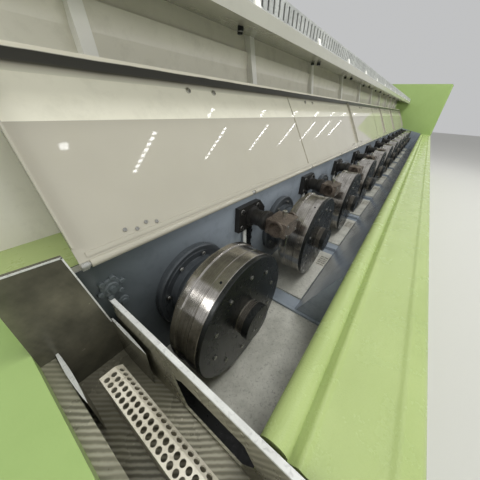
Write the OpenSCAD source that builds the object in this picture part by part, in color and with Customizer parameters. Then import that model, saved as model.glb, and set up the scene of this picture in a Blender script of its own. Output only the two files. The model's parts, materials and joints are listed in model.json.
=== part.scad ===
// Multi-stage wire drawing machine: a row of capstans in an open coolant trough,
// die holders on the wall behind them, hinged hoods, and closed housings around.
// +X runs along the machine from its entry end, +Y from the operator to the back.
// The origin is under the middle of the machine, at floor level.

/* [Row of capstans] */
// Distance from one capstan axis to the next
pitch = 700; // [640:10:800]
// Diameter of the drawing track on each capstan
capstan_d = 450; // [380:5:460]
// Height of the capstan axes above the floor
axis_h = 1000; // [900:10:1100]
// Depth of the polished ring, front face to rear shoulder
ring_depth = 103; // [80:1:120]
// Thickness of the dark face plate bolted on the front
plate_t = 14; // [10:1:20]
// Diameter of the spindle in its bearing
spindle_d = 120; // [100:2:140]

/* [Trough] */
// Distance from the operator's face of the machine to the trough's edge
rim_w = 246; // [220:2:280]
// Distance from the operator's face to the front edge of the floor plates
floor_inset = 410; // [390:2:430]
// Distance from the operator's face to the face plates of the capstans
face_inset = 468; // [455:1:480]
// Distance from the operator's face to the wall behind the capstans
wall_inset = 735; // [720:1:760]
// Clearance between a capstan's drawing track and the floor plate below it
floor_room = 22; // [20:1:40]
// Height of the green rim over the capstan axes
rim_rise = 143; // [130:1:150]
// Height of the wall behind the capstans over the drawing tracks
wall_room = 41; // [38:1:60]
// Thickness of the wall behind the capstans
wall_t = 30; // [20:1:40]
// Thickness of the bare steel plates on the trough's floor
tray_t = 10; // [6:1:12]

/* [Hoods] */
// Capstans under the first hood, at the entry end
bays_1 = 4; // [2:1:5]
// Capstans under the second hood
bays_2 = 3; // [2:1:4]
// Capstans under the third hood, where the fourth covers the rest
bays_3 = 2; // [1:1:3]
// Length of a hood's hinged panel, hinge to fold
hood_low = 341; // [330:1:350]
// Length of a hood's upper panel, fold to lip
hood_up = 178; // [170:1:185]
// Angle of the hinged panel above level when the hood is open
hood_low_a = 59; // [56:0.5:61]
// Angle of the upper panel above level when the hood is open
hood_up_a = 57; // [54:0.5:59]
// Depth of the lip along the free edge
lip = 28; // [24:1:34]
// Thickness of the hood's folded sheet
sheet = 4; // [3:0.5:5]
// Gap between neighbouring hoods
hood_gap = 10; // [6:1:20]

/* [Housings] */
// Depth of the whole machine
depth = 1600; // [1500:10:1800]
// Length of the closed box at the entry end
near_l = 370; // [300:5:450]
// Width of the entry channel between that box and the first partition
channel_w = 184; // [170:1:200]
// Distance from the first partition to the first capstan's axis
lead_in = 295; // [285:1:320]
// Distance from the last capstan's axis to the end wall
run_out = 650; // [500:10:700]
// Length of the tall housing at the far end
far_l = 700; // [500:10:900]
// Height of the tall housing at the far end
far_h = 2322; // [2250:1:2400]
// Distance from the operator's face to the rear panels
panel_inset = 1055; // [1040:5:1100]
// Distance from the operator's face to the front edge of the canopy
canopy_inset = 792; // [780:2:830]
// Clearance between the tips of the open hoods and the canopy over them
soffit_room = 135; // [100:1:200]
// Height of the plinth that the machine stands on
plinth_h = 90; // [60:5:120]

/* [Die holders] */
// Distance from a capstan's axis to the near edge of its die holder plate
die_lead = 264; // [250:2:280]
// Width of a die holder plate
die_plate_w = 210; // [180:2:230]
// Height of the wire's path above the capstan axes
wire_rise = 168; // [150:2:172]

/* [Hidden] */
capstan_n = 12;
$fn = 64;

// Places along the machine
row_l = (capstan_n - 1) * pitch;
length = near_l + channel_w + lead_in + row_l + run_out + far_l;
near_x = -length / 2;
channel_x = near_x + near_l;
part_x = channel_x + channel_w;
first_x = part_x + lead_in;
end_x = first_x + row_l + run_out;
function cap_x(i) = first_x + i * pitch;

// Places from front to back
front_y = -depth / 2;
rear_y = depth / 2;
rim_y = front_y + rim_w;
floor_y = front_y + floor_inset;
face_y = front_y + face_inset;
wall_y = front_y + wall_inset;
panel_y = front_y + panel_inset;
canopy_y = front_y + canopy_inset;
case_y = wall_y + wall_t;

// Capstan parts
cap_r = capstan_d / 2;
floor_h = axis_h - cap_r - floor_room;
rim_h = axis_h + rim_rise;
wall_h = axis_h + cap_r + wall_room;
ring_y = face_y + plate_t;
ring_rear = ring_y + ring_depth;
shoulder = 4;
shoulder_w = 20;
nose_r = 48;
nose_l = 30;
nose_cap_r = 62;
nose_cap_t = 18;
seal_gap = 8;
seal_step_t = 12;
seal_t = 20;
seal_over = 17;
seal_r = cap_r + seal_over;
seal_shoulder = 26;
seal_bore_gap = 12;
seal_y = ring_rear + seal_gap + seal_step_t;
boss_r = cap_r - 35;
boss_y = seal_y + seal_t;
bearing_play = 0.05;
bore_end = 15;

// Trough parts
slate_t = 8;
slate_floor_h = floor_h - tray_t;
tray_back = 255;
tray_fore = 275;
rib_h = 22;
rib_t = 12;
slope_x = first_x + pitch / 2;
case_h = wall_h - 12;
case_in = 24;
band_w = 58;
seat_gap = 0.3;
tank_under = slate_floor_h - slate_t;

// Die holder parts
die_plate_t = 25;
die_plate_h = 118;
die_cut = 50;
die_top = wall_h - 30;
die_low = die_top - die_plate_h;
clamp_r = 42;
clamp_l = 96;
die_box = [120, 96, 66];
wire_h = axis_h + wire_rise;

// Hood parts, as seen along +X
hinge_y = wall_y - 8;
hinge_z = wall_h + 13;
pin_r = 6;
knuckle_r = 11;
hood_shift = 21;
hood_x0 = first_x - pitch / 2 + hood_shift;
hood_n = 4;
hood_first = [0, bays_1, bays_1 + bays_2, bays_1 + bays_2 + bays_3, capstan_n];
end_flange = 16;
hinge_lug = 16;
// Corners of the hood's outer side, as [y, z]: hinge, fold, tip and end of the lip
function step(p, a, d) = [p.x + d * cos(a), p.y + d * sin(a)];
lip_a = hood_up_a + 90;
hinge_c = [hinge_y, hinge_z];
fold_c = step(hinge_c, hood_low_a, hood_low);
tip_c = step(fold_c, hood_up_a, hood_up);
lip_c = step(tip_c, lip_a, lip);
soffit_h = tip_c.y + soffit_room;
function hood_x(j) = hood_x0 + hood_first[j] * pitch;
function hood_bays(j) = hood_first[j + 1] - hood_first[j];
function hood_l(j) = hood_bays(j) * pitch - hood_gap;

// A prism along +X from an outline drawn as [y, z] points
module along_x(x0, x1) {
    translate([x0, 0, 0])
        rotate([90, 0, 90])
            linear_extrude(height = x1 - x0)
                children();
}

// A row of n flat covers along +X, each a gap narrower than its share of the length
cover_t = 18;
cover_gap = 6;
cover_edge = 20;
cover_low = plinth_h + cover_edge;
module cover_row(l, h, n) {
    for (k = [0 : n - 1])
        translate([k * l / n + cover_gap / 2, 0, 0])
            cube([l / n - cover_gap, cover_t, h]);
}

// A closed box with round upright corners, between two rows of covers front and back
corner_r = 14;
module housing(l, h) {
    run = depth - 2 * cover_t;
    translate([0, front_y + cover_t, plinth_h])
        linear_extrude(height = h - plinth_h) {
            translate([corner_r, 0]) square([l - 2 * corner_r, run]);
            translate([0, corner_r]) square([l, run - 2 * corner_r]);
            for (cx = [corner_r, l - corner_r])
                for (cy = [corner_r, run - corner_r])
                    translate([cx, cy]) circle(r = corner_r);
        }
    for (cy = [front_y, rear_y - cover_t])
        translate([corner_r, cy, cover_low])
            cover_row(l - 2 * corner_r, h - cover_low - cover_edge, 1);
}

// Plinth, notched at its corners over the lugs that the anchor bolts go through
lug_l = 110;
lug_d = 130;
lug_t = 25;
anchor_r = 13;
plinth_in = 40;
anchor_x = length / 2 - lug_l / 2;
anchor_y = depth / 2 - lug_d / 2;
module base_frame() {
    color("#3c4238") difference() {
        union() {
            translate([near_x, front_y + plinth_in, 0])
                cube([length, depth - 2 * plinth_in, plinth_h]);
            for (sx = [-1, 1])
                for (sy = [-1, 1])
                    translate([sx * anchor_x - lug_l / 2, sy * anchor_y - lug_d / 2, 0])
                        cube([lug_l, lug_d, lug_t]);
        }
        for (sx = [-1, 1])
            for (sy = [-1, 1])
                translate([sx * anchor_x, sy * anchor_y, 0]) {
                    translate([-lug_l / 2 - 1, -lug_d / 2 - 1, lug_t])
                        cube([lug_l + 2, lug_d + 2, plinth_h]);
                    translate([0, 0, -1])
                        cylinder(r = anchor_r, h = lug_t + 2);
                }
    }
}

// Closed bed under the trough
module trough_bed() {
    color("#8fae5c")
        translate([channel_x, front_y + case_in, plinth_h])
            cube([end_x - channel_x, case_y - front_y - case_in, tank_under - plinth_h]);
}

// Closed case on the operator's side, as high as the rim beside the entry channel
case_top = rim_h - band_w - seat_gap;
toe_y = floor_y - 14;
lip_y = rim_y - 8;
channel_over = 156;
channel_y = rim_y - channel_over;
module front_case() {
    color("#8fae5c") {
        translate([channel_x, front_y + case_in, tank_under])
            cube([part_x + part_t - channel_x, channel_y - front_y - case_in, rim_h - tank_under]);
        translate([part_x + part_t, front_y + case_in, tank_under])
            cube([slope_x - part_x - part_t, lip_y - front_y - case_in, case_top - tank_under]);
        along_x(slope_x, end_x)
            polygon([[front_y + case_in, tank_under], [lip_y, tank_under], [lip_y, case_top],
                [front_y + case_in, case_top]]);
        along_x(slope_x + slate_t, end_x)
            polygon([[lip_y, tank_under], [toe_y, tank_under], [lip_y, case_top]]);
    }
}

// Removable skirt panels on the operator's side, two bays long each
skirt_drop = 100;
skirt_n = 6;
module front_skirt() {
    color("#b7d27a")
        translate([channel_x, front_y + case_in - cover_t, cover_low])
            cover_row(end_x - channel_x, rim_h - skirt_drop - cover_low, skirt_n);
}

// Green rim: rolled band at the trough, soft groove, wide top with two ridges, round outer edge
top_h = rim_h - 14;
edge_r = (top_h - case_top) / 2;
groove_y = rim_y - band_w + 2;
groove_w = 9;
groove_d = 10;
ridge_r = 9;
ridge_up = 3.5;
swell_r = 40;
swell_up = 3;
lip_t = 4;
lip_h = 32;
rim_end = 16;
module front_rim() {
    color("#b7d27a")
        along_x(part_x + rim_end, end_x)
            difference() {
                union() {
                    polygon([[front_y, case_top - lip_h], [front_y + lip_t, case_top - lip_h],
                        [front_y + lip_t, case_top], [rim_y - band_w / 2, case_top],
                        [rim_y - band_w / 2, top_h], [front_y + edge_r, top_h],
                        [front_y, top_h - edge_r]]);
                    translate([front_y + edge_r, case_top + edge_r]) circle(r = edge_r);
                    translate([groove_y - groove_w - ridge_r, top_h + ridge_up - ridge_r])
                        circle(r = ridge_r);
                    intersection() {
                        translate([front_y + 2 * edge_r, top_h + swell_up - swell_r]) circle(r = swell_r);
                        translate([front_y + edge_r, case_top]) square([swell_r * 2, rim_h - case_top]);
                    }
                    translate([rim_y - band_w / 2, rim_h - band_w / 2]) circle(r = band_w / 2);
                }
                polygon([[groove_y - groove_w, rim_h], [groove_y - groove_w, top_h],
                    [groove_y, top_h - groove_d], [groove_y + 2, top_h], [groove_y - 2, rim_h]]);
            }
}

// Painted plate that slopes from under the rim to the floor, closed at the first rib
module front_wall() {
    color("#66707c") {
        along_x(slope_x, end_x - slate_t)
            polygon([[lip_y, case_top], [rim_y, case_top], [floor_y, slate_floor_h], [toe_y, tank_under]]);
        along_x(slope_x, slope_x + slate_t)
            polygon([[lip_y, tank_under], [lip_y, case_top], [rim_y, case_top],
                [floor_y, slate_floor_h], [toe_y, tank_under]]);
    }
}

// Painted floor of the trough, with a low rib across it between capstans
module tank_floor() {
    color("#59626d") {
        translate([part_x + part_t, lip_y, tank_under])
            cube([slope_x - part_x - part_t, wall_y - lip_y, slate_t]);
        translate([slope_x, floor_y, tank_under])
            cube([end_x - slate_t - slope_x, wall_y - floor_y, slate_t]);
        translate([slope_x - rib_t, lip_y, slate_floor_h])
            cube([rib_t, wall_y - lip_y, rib_h]);
        for (i = [1 : capstan_n - 2])
            translate([cap_x(i) + pitch / 2 - rib_t, floor_y, slate_floor_h])
                cube([rib_t, wall_y - floor_y, rib_h]);
    }
}

// Bare steel plates under the capstans, with a notch for each drain plate.
// The first one fills its bay, from the partition to the rib and forward under the rim.
drain_l = 130;
drain_w = 62;
drain_x = 95;
drain_play = 0.5;
module floor_plates() {
    color("#b4b3ac") {
        translate([part_x + part_t, lip_y, slate_floor_h])
            cube([slope_x - rib_t - part_x - part_t, wall_y - lip_y, tray_t]);
        difference() {
            for (i = [1 : capstan_n - 1])
                translate([cap_x(i) - tray_back, floor_y, slate_floor_h])
                    cube([tray_back + tray_fore, wall_y - floor_y, tray_t]);
            for (i = [1 : capstan_n - 1])
                translate([cap_x(i) + drain_x - drain_play, floor_y - 1, slate_floor_h - 1])
                    cube([drain_l + 2 * drain_play, drain_w + 1 + drain_play, tray_t + 2]);
        }
    }
}

// Slotted drain plates let into the floor plates
slot_n = 5;
slot_w = 12;
slot_l = 22;
slot_pitch = 24;
slot_row = 26;
slot_edge = [10, 8];
module drain_plates() {
    color("#c3c1b8") difference() {
        for (i = [1 : capstan_n - 1])
            translate([cap_x(i) + drain_x, floor_y, slate_floor_h])
                cube([drain_l, drain_w, tray_t]);
        for (i = [1 : capstan_n - 1])
            for (k = [0 : slot_n - 1])
                for (row = [0, 1])
                    translate([cap_x(i) + drain_x + slot_edge.x + k * slot_pitch,
                        floor_y + slot_edge.y + row * slot_row, slate_floor_h - 1])
                        cube([slot_w, slot_l, tray_t + 2]);
    }
}

// Painted wall behind the capstans
module back_wall() {
    color("#66707c")
        translate([channel_x, wall_y, tank_under])
            cube([end_x - channel_x, wall_t, wall_h - tank_under]);
}

// Round painted bearing boss on the wall behind each capstan
module bearing_bosses() {
    color("#66707c")
        for (i = [0 : capstan_n - 1])
            translate([cap_x(i), boss_y, axis_h])
                rotate([-90, 0, 0])
                    difference() {
                        cylinder(r = boss_r, h = wall_y - boss_y);
                        translate([0, 0, -1])
                            cylinder(r = spindle_d / 2 + bearing_play, h = wall_y - boss_y - bore_end + 1);
                    }
}

// Closed gear case behind the wall
module gear_case() {
    color("#8fae5c")
        translate([channel_x, case_y, plinth_h])
            cube([end_x - channel_x, rear_y - cover_t - case_y, case_h - plinth_h]);
}

// Wall across the far end of the trough
end_drop = 20;
module end_wall() {
    color("#66707c")
        along_x(end_x - slate_t, end_x)
            polygon([[toe_y, tank_under], [lip_y, case_top], [rim_y, case_top], [rim_y, rim_h],
                [wall_y, wall_h - end_drop], [wall_y, tank_under]]);
}

// First partition: stainless plate with a folded top and the wire's entry slot
part_t = 5;
part_fold = 11;
slot_in = 109;
slot_end = 128;
slot_rise = 64;
slot_cut = 38;
slot_drop = 137;
slot_h = rim_h - slot_drop;
module near_partition() {
    slot_y = rim_y + slot_in;
    color("#c9ccc9") difference() {
        union() {
            translate([part_x, channel_y, tank_under])
                cube([part_t, wall_y - channel_y, rim_h - tank_under]);
            translate([part_x + (part_t - part_fold) / 2, channel_y, rim_h - part_t])
                cube([part_fold, wall_y - channel_y, part_t]);
        }
        along_x(part_x - 1, part_x + part_t + 1)
            polygon([[slot_y - slot_end, slot_h], [slot_y - slot_end + slot_cut, slot_h - slot_rise],
                [slot_y + slot_end - slot_cut, slot_h - slot_rise], [slot_y + slot_end, slot_h + slot_cut],
                [slot_y + slot_end - slot_cut, slot_h + slot_rise],
                [slot_y - slot_end + slot_cut, slot_h + slot_rise]]);
    }
}

// Stainless pan of the entry channel, with a ledge along its near side and a back sheet
pan_t = 3;
pan_drop = 215;
pan_h = rim_h - pan_drop;
ledge_drop = 73;
ledge_h = rim_h - ledge_drop;
ledge_w = 30;
back_t = 8;
back_w = 168;
back_lean = 4;
back_slant = 46;
back_drop = 12;
back_top = wall_h - 4;
module channel_pan() {
    run = wall_y - channel_y;
    color("#a9a79c") {
        translate([channel_x, channel_y, pan_h])
            cube([channel_w, run, pan_t]);
        translate([channel_x, channel_y, pan_h])
            cube([pan_t, run, ledge_h - pan_h]);
        translate([channel_x, channel_y, ledge_h - pan_t])
            cube([ledge_w, run, pan_t]);
        translate([channel_x, wall_y, 0])
            rotate([90, 0, 0])
                linear_extrude(height = back_t)
                    polygon([[0, pan_h], [back_w, pan_h], [back_w + back_lean, ledge_h - back_drop],
                        [back_w + back_lean - back_slant, back_top], [0, back_top]]);
    }
}

// Perforated plate over the channel's pan: flat top, sloping side and folded legs
strainer_drop = 70;
strainer_h = rim_h - strainer_drop;
strainer_t = 3;
strainer_x = channel_x + 72;
strainer_w = 52;
strainer_flat = 36;
strainer_a = 38;
strainer_ends = [40, 142];
strainer_y0 = channel_y + strainer_ends.x;
strainer_y1 = wall_y - strainer_ends.y;
hole_pitch = 16;
hole_edge = 16;
hole_cols = [10, 26];
sieve_r = 6.2;
strainer_rows = floor((strainer_y1 - strainer_y0 - 2 * hole_edge) / hole_pitch);
side_w = strainer_w - strainer_flat;
side_drop = side_w * tan(strainer_a);
module strainer_shape(t, foot) {
    polygon([[t, foot], [t, strainer_h - t], [strainer_flat - t / 2, strainer_h - t],
        [strainer_w - t, strainer_h - side_drop - t / 2], [strainer_w - t, foot]]);
}
module strainer_plate() {
    run = strainer_y1 - strainer_y0;
    color("#d8d4c4")
        translate([strainer_x, strainer_y1, 0])
            difference() {
                rotate([90, 0, 0])
                    linear_extrude(height = run)
                        strainer_shape(0, pan_h + pan_t);
                translate([0, 1, 0])
                    rotate([90, 0, 0])
                        linear_extrude(height = run + 2)
                            strainer_shape(strainer_t, pan_h);
                for (row = [0 : strainer_rows])
                    translate([0, -hole_edge - row * hole_pitch, strainer_h]) {
                        for (col = hole_cols)
                            translate([col, 0, -2 * strainer_t])
                                cylinder(r = sieve_r, h = 3 * strainer_t, $fn = 24);
                        translate([strainer_flat + side_w / 2, 0, -side_drop / 2])
                            rotate([0, strainer_a, 0])
                                translate([0, 0, -2 * strainer_t])
                                    cylinder(r = sieve_r, h = 4 * strainer_t, $fn = 24);
                    }
            }
}

// Two thin upright guides with pointed ends, either side of the strainer
blade_l = 150;
blade_t = 7;
blade_tip = 26;
blade_side = 18;
blade_drop = 63;
blade_h = rim_h - blade_drop;
module guide_blades() {
    color("#e3e4de")
        for (bx = [channel_x + ledge_w + 2, part_x - blade_side])
            translate([bx, wall_y, pan_h + pan_t])
                linear_extrude(height = blade_h - pan_h - pan_t)
                    polygon([[0, -back_t], [0, -blade_l], [blade_t / 2, -blade_l - blade_tip],
                        [blade_t, -blade_l + blade_t], [blade_t, -back_t]]);
}

// Closed box at the entry end
near_h = rim_h - 25;
module near_housing() {
    color("#b7d27a")
        translate([near_x, 0, 0])
            housing(near_l, near_h);
}

// Dark seal ring on each bearing boss, a little wider than the capstan's track
module seal_rings() {
    color("#33373a")
        for (i = [0 : capstan_n - 1])
            translate([cap_x(i), seal_y - seal_step_t, axis_h])
                rotate([-90, 0, 0])
                    difference() {
                        union() {
                            cylinder(r = seal_r - seal_shoulder, h = seal_step_t);
                            translate([0, 0, seal_step_t])
                                cylinder(r = seal_r, h = seal_t);
                        }
                        translate([0, 0, -1])
                            cylinder(r = spindle_d / 2 + seal_bore_gap, h = seal_t + seal_step_t + 2);
                    }
}

// Black plate with one cut corner that carries a die holder
module die_plates() {
    color("#1e2022")
        for (i = [0 : capstan_n - 1])
            translate([cap_x(i) + die_lead, wall_y, 0])
                rotate([90, 0, 0])
                    linear_extrude(height = die_plate_t)
                        polygon([[0, die_low], [die_plate_w, die_low], [die_plate_w, die_top - die_cut],
                            [die_plate_w - die_cut, die_top], [0, die_top]]);
}

// Round clamp on a flange, with a waist and a collar where the die box seats
clamp_x = die_lead + 95;
clamp_z = die_top - die_plate_h / 2;
clamp_foot_r = 50;
clamp_foot_t = 10;
clamp_waist = 5;
collar_l = 32;
module die_clamps() {
    color("#3a3733")
        for (i = [0 : capstan_n - 1])
            translate([cap_x(i) + clamp_x, wall_y - die_plate_t, clamp_z])
                rotate([90, 0, 0])
                    rotate_extrude()
                        polygon([[0, 0], [clamp_foot_r, 0], [clamp_foot_r, clamp_foot_t],
                            [clamp_r - clamp_waist, clamp_foot_t + clamp_waist],
                            [clamp_r - clamp_waist, clamp_l - collar_l - clamp_waist],
                            [clamp_r, clamp_l - collar_l], [clamp_r, clamp_l], [0, clamp_l]]);
}

// Steel die box on the clamp's end, with a funnel mouth and a flanged nipple
box_x = die_lead + 66;
box_y = wall_y - die_plate_t - clamp_l - die_box.y;
funnel_r = 30;
funnel_l = 48;
die_r = 9;
nipple_r = 20;
nipple_l = 45;
nipple_flange_r = 27;
nipple_flange_t = 12;
module die_boxes() {
    color("#6e564a")
        for (i = [0 : capstan_n - 1])
            translate([cap_x(i) + box_x, box_y, wire_h - die_box.z / 2])
                difference() {
                    union() {
                        cube(die_box);
                        translate([die_box.x - 1, die_box.y / 2, die_box.z / 2])
                            rotate([0, 90, 0])
                                rotate_extrude()
                                    polygon([[0, 0], [nipple_r, 0], [nipple_r, nipple_l - nipple_flange_t],
                                        [nipple_flange_r, nipple_l - nipple_flange_t],
                                        [nipple_flange_r, nipple_l], [0, nipple_l]]);
                    }
                    translate([0, die_box.y / 2, die_box.z / 2])
                        rotate([0, 90, 0])
                            rotate_extrude()
                                polygon([[0, -0.5], [funnel_r, -0.5], [die_r, funnel_l], [0, funnel_l]]);
                }
}

// Coolant pipe that drops from each die holder plate to the trough
pipe_r = 9;
pipe_l = 130;
pipe_gap = 34;
module coolant_pipes() {
    color("#4a4f55")
        for (i = [0 : capstan_n - 1])
            translate([cap_x(i) + die_lead + 60, wall_y - pipe_r - 4, 0])
                for (side = [0, 1])
                    translate([side * pipe_gap, -side * 4, die_low - pipe_l])
                        cylinder(r = pipe_r + side * 4, h = pipe_l);
}

// Place of lug k of hood j, from the hood's near end
function lug_x(j, k) = k == 0 ? 1 : (k == hood_bays(j) ? hood_l(j) - hinge_lug - 1 : k * pitch);

// Rail on top of the wall, with the lugs and pins that the hoods turn on
rail_w = 20;
rail_t = 4;
lug_depth = 14;
module hinge_rail() {
    color("#cfcfc6") {
        translate([hood_x0 - hinge_lug, wall_y, wall_h])
            cube([capstan_n * pitch + hinge_lug, rail_w, rail_t]);
        for (j = [0 : hood_n - 1])
            translate([hood_x(j), 0, 0]) {
                for (k = [0 : hood_bays(j)])
                    translate([lug_x(j, k), hinge_y, 0]) {
                        translate([0, 0, hinge_z])
                            rotate([0, 90, 0])
                                cylinder(r = knuckle_r - 2, h = hinge_lug);
                        translate([0, -1, wall_h])
                            cube([hinge_lug, lug_depth, hinge_z - wall_h]);
                    }
                translate([1, hinge_y, hinge_z])
                    rotate([0, 90, 0])
                        cylinder(r = pin_r, h = hood_l(j) - 2);
            }
    }
}

// Light panels of the electrical enclosure on the gear case
module rear_enclosure() {
    color("#c9c7bd")
        translate([channel_x, panel_y + post_d, case_h])
            cube([end_x - channel_x, rear_y - cover_t - panel_y - post_d, soffit_h - case_h]);
}

// White posts in front of the joints between those panels
post_pitch = 865;
post_w = 86;
post_d = 46;
post_x0 = first_x - 89;
post_n = floor((end_x - post_x0 - post_w) / post_pitch);
module rear_posts() {
    color("#ecebe4")
        for (k = [0 : post_n])
            translate([post_x0 + k * post_pitch, panel_y, case_h])
                cube([post_w, post_d, soffit_h - case_h]);
}

// Covers of the gear case at the back
module rear_covers() {
    color("#b7d27a")
        translate([channel_x, rear_y - cover_t, cover_low])
            cover_row(end_x - channel_x, case_h - cover_edge - cover_low, skirt_n);
}

// Doors of the electrical enclosure at the back
door_n = 10;
module rear_doors() {
    color("#c9c7bd")
        translate([channel_x, rear_y - cover_t, case_h + cover_edge])
            cover_row(end_x - channel_x, soffit_h - case_h - 2 * cover_edge, door_n);
}

// Canopy over the open hoods
canopy_t = 46;
module canopy() {
    color("#c4c3ba")
        translate([channel_x, canopy_y, soffit_h])
            cube([end_x - channel_x, rear_y - canopy_y, canopy_t]);
}

// Slotted cable duct along the canopy's front edge
duct_w = 90;
duct_h = 70;
duct_wall = 4;
rung = 40;
rung_pitch = 100;
rung_n = floor((end_x - channel_x - 40) / rung_pitch);
module cable_duct() {
    color("#a7aaa8") {
        translate([channel_x, canopy_y + 20, soffit_h + canopy_t])
            cube([end_x - channel_x, duct_w, duct_wall]);
        for (side = [0, 1])
            translate([channel_x, canopy_y + 20 + side * (duct_w - duct_wall), soffit_h + canopy_t])
                cube([end_x - channel_x, duct_wall, 18]);
        for (k = [0 : rung_n - 1])
            translate([channel_x + 10 + k * rung_pitch, canopy_y + 20, soffit_h + canopy_t + 10])
                cube([rung, duct_w, duct_h - 10]);
    }
}

// Tall closed housing at the far end
module far_housing() {
    color("#9cbf66")
        translate([end_x, 0, 0])
            housing(far_l, far_h);
}

// Polished drawing ring on its spindle, with the dark front plate and the nose
ring_groove = 2;
front_band = 34;
groove_at = plate_t + front_band + 2;
hole_a = 115.5;
hole_r = 4.5;
spindle_end = wall_y - bore_end - face_y - 2;
ring_back = plate_t + ring_depth;
module capstan(i) {
    color("#d9d6cf")
        translate([cap_x(i), face_y, axis_h])
            difference() {
                rotate([-90, 0, 0])
                    rotate_extrude($fn = 128)
                        polygon([[0, -nose_l - nose_cap_t], [nose_cap_r - 4, -nose_l - nose_cap_t],
                            [nose_cap_r, -nose_l - nose_cap_t + 4], [nose_cap_r, -nose_l],
                            [nose_r, -nose_l], [nose_r, 0], [cap_r - 2, 0], [cap_r, 2],
                            [cap_r, groove_at - 2], [cap_r - ring_groove, groove_at - 1],
                            [cap_r - ring_groove, groove_at + 1], [cap_r, groove_at + 2],
                            [cap_r, ring_back - shoulder_w], [cap_r + shoulder, ring_back - shoulder_w],
                            [cap_r + shoulder, ring_back], [spindle_d / 2, ring_back],
                            [spindle_d / 2, spindle_end], [0, spindle_end]]);
                rotate([0, -hole_a, 0])
                    translate([cap_r - 30, plate_t + front_band / 2, 0])
                        rotate([0, 90, 0])
                            cylinder(r = hole_r, h = 40, $fn = 32);
            }
}

// The same corners a distance t inside, where a and b are the angles that meet there
function inner(p, a, b, t) = step(p, (a + b) / 2 + 90, t / cos((b - a) / 2));

// Hood of folded sheet, open as photographed, on its own knuckle tubes
lug_play = 3;
lug_room = 16;
flange_start = 45;
flange_d = sheet + end_flange;
module hood(j) {
    x0 = hood_x(j);
    x1 = x0 + hood_l(j);
    flange_c = step(hinge_c, hood_low_a, flange_start);
    color("#dedccf") difference() {
        union() {
            along_x(x0, x1)
                polygon([hinge_c, fold_c, tip_c, lip_c, step(lip_c, lip_a + 90, sheet),
                    inner(tip_c, hood_up_a, lip_a, sheet), inner(fold_c, hood_low_a, hood_up_a, sheet),
                    step(hinge_c, hood_low_a + 90, sheet)]);
            for (xe = [x0, x1 - sheet])
                along_x(xe, xe + sheet)
                    polygon([flange_c, fold_c, tip_c, step(tip_c, lip_a, flange_d),
                        inner(fold_c, hood_low_a, hood_up_a, flange_d),
                        step(flange_c, hood_low_a + 90, flange_d)]);
            translate([x0, hinge_y, hinge_z])
                rotate([0, 90, 0])
                    cylinder(r = knuckle_r, h = hood_l(j));
        }
        translate([x0 - 1, hinge_y, hinge_z])
            rotate([0, 90, 0])
                cylinder(r = pin_r + bearing_play, h = hood_l(j) + 2);
        for (k = [0 : hood_bays(j)])
            translate([x0 + lug_x(j, k) - lug_play, hinge_y - lug_room, hinge_z - lug_room])
                cube([hinge_lug + 2 * lug_play, 2 * lug_room, 2 * lug_room]);
    }
}

base_frame();
trough_bed();
front_case();
front_skirt();
front_rim();
front_wall();
tank_floor();
floor_plates();
drain_plates();
back_wall();
bearing_bosses();
gear_case();
end_wall();
near_partition();
channel_pan();
strainer_plate();
guide_blades();
near_housing();
seal_rings();
die_plates();
die_clamps();
die_boxes();
coolant_pipes();
hinge_rail();
rear_enclosure();
rear_posts();
rear_covers();
rear_doors();
canopy();
cable_duct();
far_housing();
capstan(0);  // capstan_01
capstan(1);  // capstan_02
capstan(2);  // capstan_03
capstan(3);  // capstan_04
capstan(4);  // capstan_05
capstan(5);  // capstan_06
capstan(6);  // capstan_07
capstan(7);  // capstan_08
capstan(8);  // capstan_09
capstan(9);  // capstan_10
capstan(10);  // capstan_11
capstan(11);  // capstan_12
hood(0);  // hood_1
hood(1);  // hood_2
hood(2);  // hood_3
hood(3);  // hood_4
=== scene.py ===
import json
import math

import bmesh
import bpy
import numpy as np
from mathutils import Matrix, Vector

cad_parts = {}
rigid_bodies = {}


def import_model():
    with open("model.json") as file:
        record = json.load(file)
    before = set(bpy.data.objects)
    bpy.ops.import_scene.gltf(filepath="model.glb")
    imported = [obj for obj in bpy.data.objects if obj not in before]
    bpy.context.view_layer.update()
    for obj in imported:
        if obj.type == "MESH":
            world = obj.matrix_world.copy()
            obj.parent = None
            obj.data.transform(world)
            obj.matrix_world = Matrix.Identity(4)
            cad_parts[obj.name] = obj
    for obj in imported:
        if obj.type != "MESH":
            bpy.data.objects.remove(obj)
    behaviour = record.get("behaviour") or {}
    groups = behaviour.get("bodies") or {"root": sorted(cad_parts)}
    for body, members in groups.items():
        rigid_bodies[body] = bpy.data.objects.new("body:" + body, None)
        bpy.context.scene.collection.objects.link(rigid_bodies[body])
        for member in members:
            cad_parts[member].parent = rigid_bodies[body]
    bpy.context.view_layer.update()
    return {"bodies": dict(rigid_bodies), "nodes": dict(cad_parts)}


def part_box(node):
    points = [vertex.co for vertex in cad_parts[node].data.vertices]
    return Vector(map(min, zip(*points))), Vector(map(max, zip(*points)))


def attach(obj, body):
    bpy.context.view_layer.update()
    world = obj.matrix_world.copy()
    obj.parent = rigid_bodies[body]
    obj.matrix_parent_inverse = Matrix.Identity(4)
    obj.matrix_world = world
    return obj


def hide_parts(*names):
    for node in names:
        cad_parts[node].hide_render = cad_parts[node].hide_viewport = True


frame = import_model()


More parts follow.
